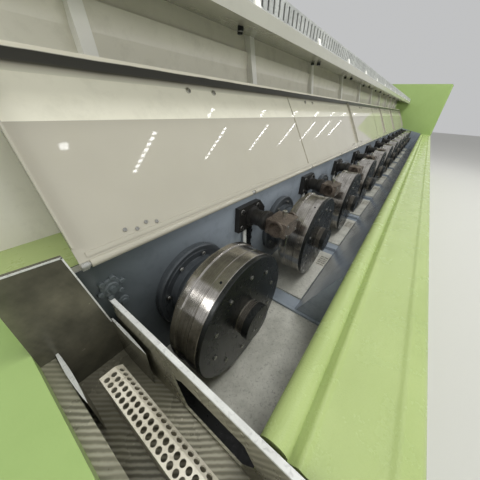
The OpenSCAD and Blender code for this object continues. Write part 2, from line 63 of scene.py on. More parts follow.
# The view. The camera stands over the entry end, at standing eye height, and looks
# down along the row of capstans. Its place is worked out from the first capstan, and
# its three directions from how the row, the wall and the uprights lie in the photograph.
# FOCAL and IMAGE_W are in the photograph's pixels, SENSOR in millimetres.
first_low, first_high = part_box("capstan_01")
NOSE_L = 0.048
row_x = (first_low.x + first_high.x) / 2
axis_z = (first_low.z + first_high.z) / 2
face_y = first_low.y + NOSE_L
CAMERA_BEFORE = (0.429, 0.263, -0.618)
FOCAL = 217.5
IMAGE_W = 480
SENSOR = 36.0
view_right = (0.6052, -0.7948, 0.0469)
view_up = (0.3967, 0.3520, 0.8477)
view_back = (-0.6902, -0.4943, 0.5283)

camera_data = bpy.data.cameras.new("view")
camera_data.sensor_width = SENSOR
camera_data.lens = SENSOR * FOCAL / IMAGE_W
camera_data.clip_start = 0.02
camera_data.clip_end = 60
camera = bpy.data.objects.new("view", camera_data)
turn = Matrix((view_right, view_up, view_back)).transposed().to_4x4()
stand = (row_x - CAMERA_BEFORE[0], face_y - CAMERA_BEFORE[1], axis_z - CAMERA_BEFORE[2])
camera.matrix_world = Matrix.Translation(stand) @ turn
bpy.context.scene.collection.objects.link(camera)
bpy.context.scene.camera = camera
bpy.context.scene.view_settings.view_transform = "Standard"


# The studio: a pale floor, an even pale sky and soft lamps. One long lamp hangs over
# the trough, and two rows of thin tubes overhead draw the bright dashes that gloss
# enamel shows.
def linear(hex_colour):
    """sRGB to linear light: c / 12.92 for the darkest, else ((c + 0.055) / 1.055) ** 2.4."""
    c = np.array([int(hex_colour[i:i + 2], 16) for i in (1, 3, 5)]) / 255
    c = np.where(c <= 0.04045, c / 12.92, ((c + 0.055) / 1.055) ** 2.4)
    return (*c.tolist(), 1.0)


def add(material, kind, inputs=None, stops=None, **settings):
    """Adds one shader node. Settings are its properties, inputs its values or the sockets
    that feed them, and stops the (place, colour) pairs of a ramp."""
    made = material.node_tree.nodes.new("ShaderNode" + kind)
    for name, value in settings.items():
        setattr(made, name, value)
    for name, value in (inputs or {}).items():
        if isinstance(value, bpy.types.NodeSocket):
            material.node_tree.links.new(value, made.inputs[name])
        else:
            made.inputs[name].default_value = value
    for place, colour in stops or ():
        if place in (0.0, 1.0):
            stop = made.color_ramp.elements[0 if place == 0.0 else -1]
        else:
            stop = made.color_ramp.elements.new(place)
        stop.color = linear(colour)
    return made


def blank(name):
    """A new material with an empty node tree."""
    material = bpy.data.materials.new(name)
    material.use_nodes = True
    material.node_tree.nodes.clear()
    return material


def show(material, shader):
    """Sends a shader to the material's output and gives the material back."""
    add(material, "OutputMaterial", {"Surface": shader.outputs[0]})
    return material


FLOOR_PALE = "#c9c8c3"
FLOOR_HALF = 30.0
floor_paint = blank("pale_floor")
show(floor_paint, add(floor_paint, "BsdfPrincipled",
                      {"Base Color": linear(FLOOR_PALE), "Roughness": 0.9}))
floor_mesh = bpy.data.meshes.new("floor")
floor_mesh.from_pydata([(FLOOR_HALF * x, FLOOR_HALF * y, 0)
                        for x, y in ((-1, -1), (1, -1), (1, 1), (-1, 1))],
                       [], [(0, 1, 2, 3)])
floor_mesh.materials.append(floor_paint)
floor = bpy.data.objects.new("floor", floor_mesh)
bpy.context.scene.collection.objects.link(floor)

SKY_PALE = "#f2f3f4"
SKY_STRENGTH = 0.6
world = bpy.data.worlds.new("studio")
bpy.context.scene.world = world
world.use_nodes = True
sky = world.node_tree.nodes["Background"]
sky.inputs["Color"].default_value = linear(SKY_PALE)
sky.inputs["Strength"].default_value = SKY_STRENGTH
LIT_SHARE = 0.6


def lamp(name, place, size, watts, aim, dashes=0, mirrored=False, way=(1.0, 0.0, 0.0)):
    """A flat rectangular lamp at a place, turned to face the point that it aims at. Its
    first size runs as nearly as it can along its way. One with dashes shines only in
    that many short bars. Only dashed and mirrored ones are seen in gloss."""
    light = bpy.data.lights.new(name, "AREA")
    light.shape = "RECTANGLE"
    light.size, light.size_y = size
    light.energy = watts
    made = bpy.data.objects.new(name, light)
    made.visible_camera = False
    made.visible_glossy = mirrored or dashes > 0
    if dashes:
        light.use_nodes = True
        place_on_it = add(light, "NewGeometry").outputs["Position"]
        spot = add(light, "SeparateXYZ", {"Vector": place_on_it})
        count = add(light, "Math", {0: spot.outputs["Y"], 1: dashes / size[1]},
                    operation="MULTIPLY")
        part = add(light, "Math", {0: count.outputs[0]}, operation="FRACT")
        lit = add(light, "Math", {0: part.outputs[0], 1: LIT_SHARE}, operation="LESS_THAN")
        glow = light.node_tree.nodes["Emission"]
        light.node_tree.links.new(lit.outputs[0], glow.inputs["Strength"])
    to = np.array(aim, float) - np.array(place, float)
    to /= np.linalg.norm(to)
    side = np.cross(way, to)
    side /= np.linalg.norm(side)
    axes = Matrix((-np.cross(side, to), side, -to)).transposed().to_4x4()
    made.matrix_world = Matrix.Translation(place) @ axes
    bpy.context.scene.collection.objects.link(made)


# Each lamp with its place, its size in metres, its watts and the point that it faces.
lamp("lamp_over_trough", (1.0, -1.2, 4.6), (12.5, 0.9), 195, (1.0, -0.5, 1.0))
lamp("lamp_operator", (0.5, -5.0, 2.3), (11.0, 1.2), 125, (0.5, 0.2, 1.6))
lamp("lamp_entry_end", (-10.0, -1.4, 4.0), (3.0, 2.5), 150, (-3.0, 0.1, 1.4))
lamp("lamp_round_glow", (-3.1, -2.55, 5.0), (0.14, 0.14), 0.7, (-3.1, -2.5, 0.0),
     mirrored=True)
lamp("lamp_ring_streak", (-7.2, 1.4, 3.5), (1.0, 1.0), 12, (-4.2, -0.2, 1.1), mirrored=True)
TUBES = 7
TUBE_PITCH = 2.5
TUBE_Z = 5.0
TUBE_WAY = (1.0, -0.4, 0.0)
TUBE_ROWS = (("near", -1.49, -2.92, (0.10, 1.15), 6.5, 8),
             ("far", 0.28, -1.38, (0.08, 0.7), 4, 4))
for tube in range(TUBES):
    for row, first_x, y, size, watts, dashes in TUBE_ROWS:
        x = first_x + TUBE_PITCH * tube
        lamp(f"{row}_tube_{tube + 1}", (x, y, TUBE_Z), size, watts, (x, y, 0.0), dashes,
             way=TUBE_WAY)


# The plinth and the closed bed: welded plate boxes that carry everything else. The
# plinth is sprayed a dark matt enamel, and its lugs take the anchor bolts. The bed, the
# cases, the skirt panels and the rear covers are sprayed leaf green.
def dress(material, *nodes):
    """Gives CAD nodes their material and keeps their meshes."""
    for node in nodes:
        mesh = frame["nodes"][node].data
        if mesh.materials:
            mesh.materials[0] = material
        else:
            mesh.materials.append(material)


METRE_MM = 1000
WANDER_MM = 180
SOIL_MM = 70


def enamel(name, colours, gloss, peel_mm, peel, soil="#000000", soiled=0.0, painted_shade=None):
    """Sprayed enamel. The colour wanders between two tones over a hand's width, the skin
    has the fine waves of orange peel, and soil lies on it in patches where it is soiled.
    gloss is its roughness, and peel is how strong the waves are. painted_shade is the
    place along X, the width and the tone of the painted shade that darkens it towards the entry."""
    material = blank(name)
    place = add(material, "TexCoord").outputs["Object"]
    wide = add(material, "TexNoise", {"Vector": place, "Scale": METRE_MM / WANDER_MM,
                                      "Detail": 4.0})
    tone = add(material, "ValToRGB", {"Fac": wide.outputs["Fac"]},
               [(0.0, colours[0]), (1.0, colours[1])])
    patch = add(material, "TexNoise", {"Vector": place, "Scale": METRE_MM / SOIL_MM,
                                       "Detail": 8.0, "Roughness": 0.7})
    spread = add(material, "MapRange", {"Value": patch.outputs["Fac"], "From Min": 0.5,
                                        "From Max": 0.8, "To Max": soiled})
    tint = add(material, "Mix", {0: spread.outputs["Result"], 7: linear(soil),
                                 6: tone.outputs["Color"]}, data_type="RGBA")
    colour = tint.outputs[2]
    # Painted shade: the colour is mixed towards a dark tone along X, darkest towards the entry.
    if painted_shade:
        shade_x, shade_w, shade_tone = painted_shade
        where = add(material, "SeparateXYZ", {"Vector": place})
        near = add(material, "MapRange", {"Value": where.outputs["X"], "From Min": shade_x,
                                          "From Max": shade_x + shade_w})
        colour = add(material, "Mix", {0: near.outputs["Result"], 6: linear(shade_tone),
                                       7: colour}, data_type="RGBA").outputs[2]
    skin = add(material, "TexNoise", {"Vector": place, "Scale": METRE_MM / peel_mm,
                                      "Detail": 1.0})
    bump = add(material, "Bump", {"Height": skin.outputs["Fac"], "Strength": peel,
                                  "Distance": 0.001})
    rough = add(material, "MapRange", {"Value": patch.outputs["Fac"], "To Min": gloss * 0.8,
                                       "To Max": gloss * 1.4})
    return show(material, add(material, "BsdfPrincipled", {
        "Base Color": colour, "Roughness": rough.outputs["Result"],
        "Normal": bump.outputs["Normal"], "IOR": 1.5}))


# Matt enamel scatters light, so the plinth shows no glints, only dust.
dark_enamel = enamel("dark_matt_enamel", ("#343a31", "#40463b"), 0.6, 3, 0.1,
                     "#7a7466", 0.3)
dress(dark_enamel, "base_frame")

# Half-gloss enamel over plate: soft broad highlights, broken by a fine peel.
LEAF_GREEN = ("#9dae6c", "#adbd7c")
green_enamel = enamel("leaf_green_enamel", LEAF_GREEN, 0.26, 2.6, 0.35, "#8fa86a", 0.25)
dress(green_enamel, "trough_bed", "front_case", "front_skirt", "gear_case", "rear_covers")


# The green rim: one long folded and rolled plate along the machine's front. A round
# band runs along the trough, then a soft groove with a low ridge, a wide top that is
# very slightly crowned, and a round outer edge.
def arc(centre, radius, start, end, count=9):
    """Points on part of a circle: centre + radius * (cos a, sin a), in degrees."""
    a = np.radians(np.linspace(start, end, count))
    return np.stack([centre[0] + radius * np.cos(a), centre[1] + radius * np.sin(a)], 1)


def bands(rows, steps):
    """Four-sided faces between rows of points that each run round and close on
    themselves: point, next point, and the same two in the row after."""
    i = np.arange(rows - 1)[:, None] * steps
    j = np.arange(steps)[None]
    k = (j + 1) % steps
    return np.stack([i + j, i + k, i + steps + k, i + steps + j], -1).reshape(-1, 4)


def carried(outline, start, end):
    """A closed (y, z) outline carried along +X from start to end, capped at both ends."""
    outline = np.asarray(outline, float)
    n = len(outline)
    points = np.empty((2, n, 3))
    points[0, :, 0] = start
    points[1, :, 0] = end
    points[:, :, 1:] = outline
    return points.reshape(-1, 3), bands(2, n), [np.arange(n)[::-1], n + np.arange(n)]


DOUBLE_DIST = 1e-6
SHARP_ANGLE = math.radians(32)


def piece(name, shapes, body, replaced=()):
    """A finished piece from (shape, material) pairs, where a shape is points, four-sided
    faces and caps. Doubles are merged, normals turned outward, and flat joints kept sharp."""
    points, faces, marks, materials, start = [], [], [], [], 0
    for (shape_points, quads, caps), material in shapes:
        if material not in materials:
            materials.append(material)
        new = (np.asarray(quads, int).reshape(-1, 4) + start).tolist()
        new += [(np.asarray(cap) + start).tolist() for cap in caps]
        faces += new
        marks += [materials.index(material)] * len(new)
        points.append(shape_points)
        start += len(shape_points)
    mesh = bpy.data.meshes.new(name)
    mesh.from_pydata(np.concatenate(points), [], faces)
    for material in materials:
        mesh.materials.append(material)
    mesh.polygons.foreach_set("material_index", marks)
    shell = bmesh.new()
    shell.from_mesh(mesh)
    bmesh.ops.remove_doubles(shell, verts=shell.verts, dist=DOUBLE_DIST)
    bmesh.ops.recalc_face_normals(shell, faces=shell.faces)
    shell.to_mesh(mesh)
    shell.free()
    mesh.polygons.foreach_set("use_smooth", [True] * len(mesh.polygons))
    mesh.set_sharp_from_angle(angle=SHARP_ANGLE)
    made = bpy.data.objects.new(name, mesh)
    bpy.context.scene.collection.objects.link(made)
    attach(made, body)
    if replaced:
        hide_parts(*replaced)
    return made


rim_low, rim_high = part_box("front_rim")
BAND_R = 0.029
RIM_DROP = 0.014
GROOVE_IN = 0.056
GROOVE_DEPTH = 0.0085
RIDGE_R = 0.009
RIDGE_BEFORE = 0.018
SWELL_R = 0.02
SWELL_IN = 0.044
CROWN_UP = 0.0012
SEAT_UP = 0.032
RIM_T = 0.004
rim_top = rim_high.z - RIM_DROP
band_y = rim_high.y - BAND_R
band_z = rim_high.z - BAND_R
seat_z = rim_low.z + SEAT_UP
edge_r = (rim_top - seat_z) / 2
groove_y = rim_high.y - GROOVE_IN
ridge_y = groove_y - RIDGE_BEFORE
swell_y = rim_low.y + SWELL_IN
crown = np.linspace(swell_y + 0.016, ridge_y - 0.012, 7)
rim_outline = np.concatenate([
    arc((band_y, band_z), BAND_R, -90, 152, 28),
    [(groove_y + 0.004, rim_top - 0.004), (groove_y, rim_top - GROOVE_DEPTH),
     (groove_y - 0.004, rim_top - 0.006)],
    arc((ridge_y, rim_top - 0.0055), RIDGE_R, 30, 130, 8),
    np.stack([crown, rim_top + CROWN_UP * np.sin(np.linspace(0, np.pi, 7))], 1)[::-1],
    arc((swell_y, rim_top - 0.0165), SWELL_R, 60, 118, 8),
    arc((rim_low.y + edge_r, seat_z + edge_r), edge_r, 92, 180, 10),
    [(rim_low.y, rim_low.z), (rim_low.y + RIM_T, rim_low.z), (rim_low.y + RIM_T, seat_z)]])
# A thick coat has a coarse peel that glints along the band. The peel is drawn coarser
# than the real one, which would be too fine to show.
rim_enamel = enamel("thick_green_enamel", LEAF_GREEN, 0.24, 3.4, 0.6, "#93ac6c", 0.2)
piece("rolled_rim", [(carried(rim_outline, rim_low.x, rim_high.x), rim_enamel)],
      "frame", ["front_rim"])


# The trough: slate enamel on welded plate. The front slopes down from under the rim,
# low ribs cross the floor between the capstans, and the wall behind carries everything
# that works. It is wet and glossy, with soil in patches, and painted shade darkens it
# towards the entry.
# The place, the width and the tone of the painted shade towards the entry.
ENTRY_PAINTED_SHADE = (row_x - 0.38, 0.62, "#353b38")
slate_enamel = enamel("slate_enamel", ("#858d95", "#9aa3aa"), 0.16, 2.0, 0.1,
                      "#42484c", 0.4, ENTRY_PAINTED_SHADE)
dress(slate_enamel, "front_wall", "tank_floor", "back_wall", "end_wall")


# The bare steel plates on the trough's floor: hot-rolled sheet, cut to each bay, dull
# and blotched by dried coolant, with brighter scuffs where it is trodden and wiped.
CLOUD_MM = 120
# The black and the ragged edge of the painted shade at the partition's foot.
PAINTED_SHADE_BLACK = "#0b0c0a"
SHADE_RAGGED = 0.02


def bare_plate(name, tones, spots_mm, metal, gloss, foot_shade=None):
    """Bare sheet: wide clouds of tone, darker dried spots, and a roughness that follows
    them, so that wiped places shine. foot_shade is the place along X, and the width, where
    the sheet turns black towards the entry, as painted shade."""
    material = blank(name)
    place = add(material, "TexCoord").outputs["Object"]
    cloud = add(material, "TexNoise", {"Vector": place, "Scale": METRE_MM / CLOUD_MM,
                                       "Detail": 6.0, "Roughness": 0.65})
    tone = add(material, "ValToRGB", {"Fac": cloud.outputs["Fac"]},
               [(0.0, tones[0]), (0.42, tones[1]), (0.6, tones[2]), (1.0, tones[3])])
    spots = add(material, "TexNoise", {"Vector": place, "Scale": METRE_MM / spots_mm,
                                       "Detail": 3.0, "Distortion": 0.6})
    dried = add(material, "MapRange", {"Value": spots.outputs["Fac"], "From Min": 0.55,
                                       "From Max": 0.68, "To Max": 0.55})
    tint = add(material, "Mix", {0: dried.outputs["Result"], 6: tone.outputs["Color"],
                                 7: linear(tones[0])}, data_type="RGBA")
    colour = tint.outputs[2]
    # Painted shade: the sheet turns black near the partition's foot, with a ragged edge.
    if foot_shade:
        where = add(material, "SeparateXYZ", {"Vector": place})
        ragged = add(material, "Math", {0: spots.outputs["Fac"], 1: SHADE_RAGGED,
                                        2: where.outputs["X"]}, operation="MULTIPLY_ADD")
        unshaded = add(material, "MapRange", {"Value": ragged.outputs[0], "From Min": foot_shade[0],
                                         "From Max": foot_shade[0] + foot_shade[1]})
        colour = add(material, "Mix", {0: unshaded.outputs["Result"], 6: linear(PAINTED_SHADE_BLACK),
                                       7: colour}, data_type="RGBA").outputs[2]
    rough = add(material, "MapRange", {"Value": spots.outputs["Fac"], "From Min": 0.3,
                                       "From Max": 0.7, "To Min": gloss, "To Max": gloss + 0.3})
    bump = add(material, "Bump", {"Height": spots.outputs["Fac"], "Strength": 0.15,
                                  "Distance": 0.001})
    return show(material, add(material, "BsdfPrincipled", {
        "Base Color": colour, "Roughness": rough.outputs["Result"],
        "Metallic": metal, "Normal": bump.outputs["Normal"]}))


# Painted shade on the first bay's plate at the foot of the partition, seen through its slot.
PARTITION_FOOT_SHADE = (row_x - 0.205, 0.025)
floor_steel = bare_plate("stained_floor_plate", ("#8b8a80", "#b0afa4", "#c6c5ba", "#dedcd0"),
                         9, 0.1, 0.24, PARTITION_FOOT_SHADE)
dress(floor_steel, "floor_plates")
# The drain plates are the same sheet, more even and duller, because nothing wipes them.
drain_steel = bare_plate("drain_plate_steel", ("#9b988c", "#b5b2a5", "#c6c3b6", "#d6d3c7"),
                         14, 0.25, 0.4)
dress(drain_steel, "drain_plates")


# Two blanking plugs on the wall beside the entry: a large one with a lobed grip and a
# small round one, screwed into the wall and sprayed with it.
def turned(profile, centre, towards, steps=48):
    """A profile of (radius, distance) points turned about a line: centre + towards *
    distance + (side * cos t + across * sin t) * radius."""
    profile = np.asarray(profile, float)
    towards = np.asarray(towards, float)
    side = np.cross(towards, (0.0, 0.0, 1.0) if abs(towards[2]) < 0.9 else (0.0, 1.0, 0.0))
    side /= np.linalg.norm(side)
    across = np.cross(towards, side)
    t = np.arange(steps) * 2 * np.pi / steps
    ring = np.cos(t)[:, None] * side + np.sin(t)[:, None] * across
    points = (np.asarray(centre, float) + profile[:, None, 1:2] * towards
              + profile[:, None, 0:1] * ring)
    return points.reshape(-1, 3), bands(len(profile), steps), []


def repeated(shape, places):
    """The same shape at every place: its points moved by each place in turn."""
    points, quads, caps = shape
    places = np.asarray(places, float)
    n = len(points)
    starts = np.arange(len(places)) * n
    many = (places[:, None] + points).reshape(-1, 3)
    quads = (starts[:, None, None] + quads).reshape(-1, 4)
    return many, quads, [cap + start for start in starts for cap in caps]


def around(centre, radius, degrees):
    """Places on an upright circle, at angles from +X towards +Z: centre + radius *
    (cos a, 0, sin a)."""
    a = np.radians(np.asarray(degrees, float))
    return np.stack([centre[0] + radius * np.cos(a), np.full(len(a), centre[1]),
                     centre[2] + radius * np.sin(a)], 1)


OUTWARD = (0.0, -1.0, 0.0)
wall_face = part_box("back_wall")[0].y
PLUG_AT = (row_x - 0.283, wall_face, axis_z + 0.180)
SMALL_PLUG_AT = (row_x - 0.264, wall_face, axis_z + 0.111)
LOBE_OUT = 0.030
plug = turned([(0, 0.020), (0.007, 0.020), (0.009, 0.013), (0.016, 0.013), (0.019, 0.009),
               (0.026, 0.008), (0.029, 0.004), (0.029, 0), (0, 0)],
              PLUG_AT, OUTWARD, 32)
lobe = turned([(0, 0.012), (0.006, 0.012), (0.008, 0.010), (0.008, 0), (0, 0)],
              (0, 0, 0), OUTWARD, 16)
lobes = repeated(lobe, around(PLUG_AT, LOBE_OUT, np.arange(6) * 60 + 12))
small_plug = turned([(0, 0.010), (0.008, 0.010), (0.010, 0.006), (0.016, 0.005),
                     (0.018, 0.002), (0.018, 0), (0, 0)], SMALL_PLUG_AT, OUTWARD, 24)
piece("wall_plugs", [(shape, slate_enamel) for shape in (plug, lobes, small_plug)],
      "frame")


# The seal flanges bolted to the wall behind the capstans: turned steel, grey under a
# film of oil, with a stepped front and a circle of socket head screws. A gland stands
# out of each, up to the back of its capstan.
DRAWN_OUT = 6.0
SMUDGE_MM = 60


def machined(name, tones, grain_mm, gloss, metal, axis):
    """Turned or ground steel. Fine tool lines run round the piece: noise drawn out along
    the two directions that lie across its axis (0 is X, 1 is Y), thin along the axis.
    They are drawn coarser than real ones, which would be too fine to show."""
    material = blank(name)
    place = add(material, "TexCoord").outputs["Object"]
    lines = add(material, "Mapping", {"Vector": place, "Scale": [
        METRE_MM / grain_mm if i == axis else DRAWN_OUT for i in range(3)]})
    grain = add(material, "TexNoise", {"Vector": lines.outputs["Vector"], "Scale": 1.0,
                                       "Detail": 5.0, "Roughness": 0.6})
    cloud = add(material, "TexNoise", {"Vector": place, "Scale": METRE_MM / SMUDGE_MM,
                                       "Detail": 6.0, "Roughness": 0.7})
    both = add(material, "Math", {0: grain.outputs["Fac"], 1: cloud.outputs["Fac"]},
               operation="ADD")
    half = add(material, "Math", {0: both.outputs[0], 1: 0.5}, operation="MULTIPLY")
    tone = add(material, "ValToRGB", {"Fac": half.outputs[0]},
               [(0.0, tones[0]), (0.4, tones[1]), (0.6, tones[2]), (1.0, tones[3])])
    rough = add(material, "MapRange", {"Value": half.outputs[0], "From Min": 0.3,
                                       "From Max": 0.7, "To Min": gloss * 1.5,
                                       "To Max": gloss * 0.7})
    bump = add(material, "Bump", {"Height": grain.outputs["Fac"], "Strength": 0.12,
                                  "Distance": 0.0004})
    return show(material, add(material, "BsdfPrincipled", {
        "Base Color": tone.outputs["Color"], "Roughness": rough.outputs["Result"],
        "Metallic": metal, "Normal": bump.outputs["Normal"]}))


# The film of oil keeps the grey steel dark, with a soft sheen on its steps. Blackened
# steel is darker still, and bright screws stand out on both as small glints.
flange_steel = machined("oily_grey_flange", ("#2b2e30", "#45494c", "#5a5f62", "#7d8285"),
                        1.5, 0.3, 0.4, 1)
black_steel = machined("blackened_oily_steel", ("#121315", "#1f2123", "#2a2d2f", "#3c4042"),
                       1.5, 0.26, 0.6, 1)
bright_steel = machined("bright_screw_steel", ("#8d8c87", "#b5b4ae", "#cfcec8", "#e6e5df"),
                        2.0, 0.25, 1.0, 1)


def screws(places, towards, radius, height, steps=12):
    """Socket head screws: a bevelled head with a round recess, turned once and repeated."""
    head = [(0, height * 0.45), (radius * 0.5, height * 0.45), (radius * 0.5, height),
            (radius * 0.85, height), (radius, height * 0.8), (radius, 0), (0, 0)]
    return repeated(turned(head, (0, 0, 0), towards, steps), places)


FLANGE_R = 0.172
FLANGE_T = 0.026
FLANGE_BOLT_R = 0.140
GLAND_R = 0.126
GLAND_L = 0.092
BORE_R = 0.070
INWARD = (0, 1, 0)
capstans = sorted(name for name in frame["bodies"] if name.startswith("capstan_"))
capstan_x = [(low.x + high.x) / 2 for low, high in map(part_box, capstans)]
seal_shapes = []
for x in capstan_x:
    at = (x, wall_face - FLANGE_T, axis_z)
    flange = turned([
        (BORE_R, -GLAND_L), (GLAND_R - 0.012, -GLAND_L), (GLAND_R - 0.010, 0.002 - GLAND_L),
        (GLAND_R - 0.010, -0.030), (GLAND_R, -0.026), (GLAND_R, -0.002), (GLAND_R + 0.002, 0),
        (0.150, 0), (0.152, 0.002), (0.154, 0), (FLANGE_R - 0.005, 0), (FLANGE_R, 0.005),
        (FLANGE_R, FLANGE_T), (BORE_R, FLANGE_T), (BORE_R, -GLAND_L)], at, INWARD, 96)
    bolts = screws(around(at, FLANGE_BOLT_R, np.arange(8) * 45 + 30), OUTWARD,
                   0.0085, 0.009)
    seal_shapes += [(flange, flange_steel), (bolts, bright_steel)]
piece("seal_flanges_turned", seal_shapes, "frame",
      ["seal_rings", "bearing_bosses"])


# The capstans. Each is a forged ring, ground and then polished further in use, behind
# a dark face plate held by ten screws. A stub nose with a flanged cap stands out of the
# plate, and everything turns with the ring.

# The polished ring mirrors the lamps as bright streaks. The rubbed nose is duller and
# brown, and the plate is dark enough to set both off.
ring_steel = machined("wire_polished_steel", ("#4c4741", "#918c85", "#d3cfc8", "#f7f5ef"),
                      1.2, 0.15, 0.95, 1)
nose_steel = machined("rubbed_nose_steel", ("#3a3833", "#5f5b53", "#7d786e", "#a9a397"),
                      2.0, 0.25, 0.8, 1)
plate_steel = machined("dark_face_plate", ("#1b1c1c", "#242625", "#2d2f2d", "#3d3f3c"),
                       60.0, 0.24, 0.5, 0)
PLATE_T = 0.014
PLATE_R = 0.2235
RING_R = 0.225
RING_L = 0.103
SHOULDER_R = 0.229
SKIRT_R = 0.200
SKIRT_L = 0.030
SPINDLE_R = 0.060
NOSE_R = 0.060
CAP_R = 0.065
CAP_L = 0.022
PLATE_BOLT_R = 0.165
CAP_BOLT_R = 0.026
PLUG_A = math.radians(115.5)
plug_way = (math.cos(PLUG_A), 0, math.sin(PLUG_A))
ring_end = PLATE_T + RING_L
spindle_end = first_high.y - face_y
for name, x in zip(capstans, capstan_x):
    at = (x, face_y, axis_z)
    ring = turned([
        (0, PLATE_T), (RING_R - 0.0012, PLATE_T), (RING_R, PLATE_T + 0.0012),
        (RING_R, 0.046), (RING_R - 0.002, 0.0472), (RING_R - 0.002, 0.0492),
        (RING_R - 0.0002, 0.0504), (RING_R - 0.0007, 0.072), (RING_R - 0.0002, 0.0935),
        (SHOULDER_R - 0.001, 0.0965), (SHOULDER_R, 0.098), (SHOULDER_R, ring_end - 0.0015),
        (SHOULDER_R - 0.0015, ring_end), (0, ring_end)], at, INWARD, 128)
    skirt = turned([
        (BORE_R, ring_end - 0.002), (SKIRT_R, ring_end - 0.002),
        (SKIRT_R, ring_end + SKIRT_L - 0.004), (SKIRT_R - 0.004, ring_end + SKIRT_L),
        (BORE_R, ring_end + SKIRT_L), (BORE_R, ring_end - 0.002)], at, INWARD, 96)
    spindle = turned([(0, ring_end - 0.001), (SPINDLE_R, ring_end - 0.001),
                      (SPINDLE_R, spindle_end), (0, spindle_end)], at, INWARD, 48)
    piece(f"{name}_ring", [(ring, ring_steel), (skirt, ring_steel), (spindle, black_steel)],
          name, [name])
    plate = turned([(0, 0), (PLATE_R - 0.0025, 0), (PLATE_R, 0.0025),
                    (PLATE_R, PLATE_T - 0.0005), (0, PLATE_T - 0.0005)], at, INWARD, 128)
    nose = turned([(0, -0.029), (NOSE_R, -0.029), (NOSE_R, -0.003), (NOSE_R + 0.003, 0.001),
                   (0, 0.001)], at, INWARD, 48)
    end_disc = turned([(0, -NOSE_L + 0.0004), (CAP_R - 0.003, -NOSE_L + 0.0004),
                       (CAP_R - 0.003, -NOSE_L + 0.003), (0, -NOSE_L + 0.003)], at, INWARD, 48)
    hub_cap = turned([
        (CAP_R - 0.003, -NOSE_L + 0.001), (CAP_R - 0.0015, -NOSE_L + 0.0005),
        (CAP_R, -NOSE_L + 0.002), (CAP_R, -NOSE_L + CAP_L), (NOSE_R, -NOSE_L + CAP_L + 0.001),
        (CAP_R - 0.003, -NOSE_L + 0.001)], at, INWARD, 64)
    bolt_ring = screws(around(at, PLATE_BOLT_R, np.arange(10) * 36 + 14), OUTWARD,
                       0.0075, 0.004)
    cap_screws = screws(around((x, face_y - NOSE_L + 0.0004, axis_z), CAP_BOLT_R,
                               (35, 75, 215, 255)), OUTWARD, 0.0035, 0.0015, 10)
    ring_plug = turned([(0, 0.0006), (0.0042, 0.0006), (0.0042, -0.002), (0, -0.002)],
                       (x + RING_R * plug_way[0], face_y + 0.031,
                        axis_z + RING_R * plug_way[2]), plug_way, 16)
    # Dark discs of blackened steel stand in for small holes in the plate, as painted shade.
    hole_shade_discs = screws(np.concatenate([around(at, 0.082, (44, -127)),
                                         around(at, 0.195, (143,))]),
                         OUTWARD, 0.0045, 0.0008, 10)
    piece(f"{name}_face", [(plate, plate_steel), (nose, nose_steel), (end_disc, plate_steel),
                           (hub_cap, plate_steel), (bolt_ring, bright_steel),
                           (cap_screws, bright_steel), (ring_plug, black_steel),
                           (hole_shade_discs, black_steel)], name)


# The entry channel: folded stainless sheet that leads in to the first capstan. It is
# brown with coolant, its folded top edges are wiped pale, and a plain sheet with a
# hemmed edge covers the wall beside it.
REFLECTION_SLANT = (-0.734, -0.579, -0.355)
REFLECTION_PITCH = 0.0106
STAIN_MM = 90
REFLECTION_PATCH_MM = 220
DROP_MM = 5


def channel_sheet(name, tones, reflection_tone, reflected_share, gloss):
    """Stained stainless sheet: tone in clouds, and slanting bars of painted reflection about
    a centimetre apart that fade in and out."""
    material = blank(name)
    place = add(material, "TexCoord").outputs["Object"]
    cloud = add(material, "TexNoise", {"Vector": place, "Scale": METRE_MM / STAIN_MM,
                                       "Detail": 5.0, "Roughness": 0.6})
    tone = add(material, "ValToRGB", {"Fac": cloud.outputs["Fac"]},
               [(0.0, tones[0]), (0.45, tones[1]), (1.0, tones[2])])
    # Painted reflection: bright slanting bars are mixed into the sheet's colour.
    slant = add(material, "VectorMath", {0: place, 1: REFLECTION_SLANT}, operation="DOT_PRODUCT")
    wave = add(material, "Math", {0: slant.outputs["Value"], 1: math.tau / REFLECTION_PITCH},
               operation="MULTIPLY")
    wobble = add(material, "Math", {0: cloud.outputs["Fac"], 1: 7.0, 2: wave.outputs[0]},
                 operation="MULTIPLY_ADD")
    reflection_bars = add(material, "Math", {0: wobble.outputs[0]}, operation="SINE")
    edge = add(material, "MapRange", {"Value": reflection_bars.outputs[0], "From Min": -0.7,
                                      "From Max": 0.95})
    where = add(material, "TexNoise", {"Vector": place, "Scale": METRE_MM / REFLECTION_PATCH_MM,
                                       "Detail": 1.0})
    fade = add(material, "MapRange", {"Value": where.outputs["Fac"], "From Min": 0.35,
                                      "From Max": 0.6, "To Max": reflected_share})
    amount = add(material, "Math", {0: edge.outputs["Result"], 1: fade.outputs["Result"]},
                 operation="MULTIPLY")
    tint = add(material, "Mix", {0: amount.outputs[0], 6: tone.outputs["Color"],
                                 7: linear(reflection_tone)}, data_type="RGBA")
    drops = add(material, "TexNoise", {"Vector": place, "Scale": METRE_MM / DROP_MM,
                                       "Detail": 2.0})
    rough = add(material, "MapRange", {"Value": cloud.outputs["Fac"], "To Min": gloss * 0.7,
                                       "To Max": gloss * 1.5})
    bump = add(material, "Bump", {"Height": drops.outputs["Fac"], "Strength": 0.12,
                                  "Distance": 0.0005})
    return show(material, add(material, "BsdfPrincipled", {
        "Base Color": tint.outputs[2], "Roughness": rough.outputs["Result"],
        "Metallic": 0.25, "Normal": bump.outputs["Normal"]}))


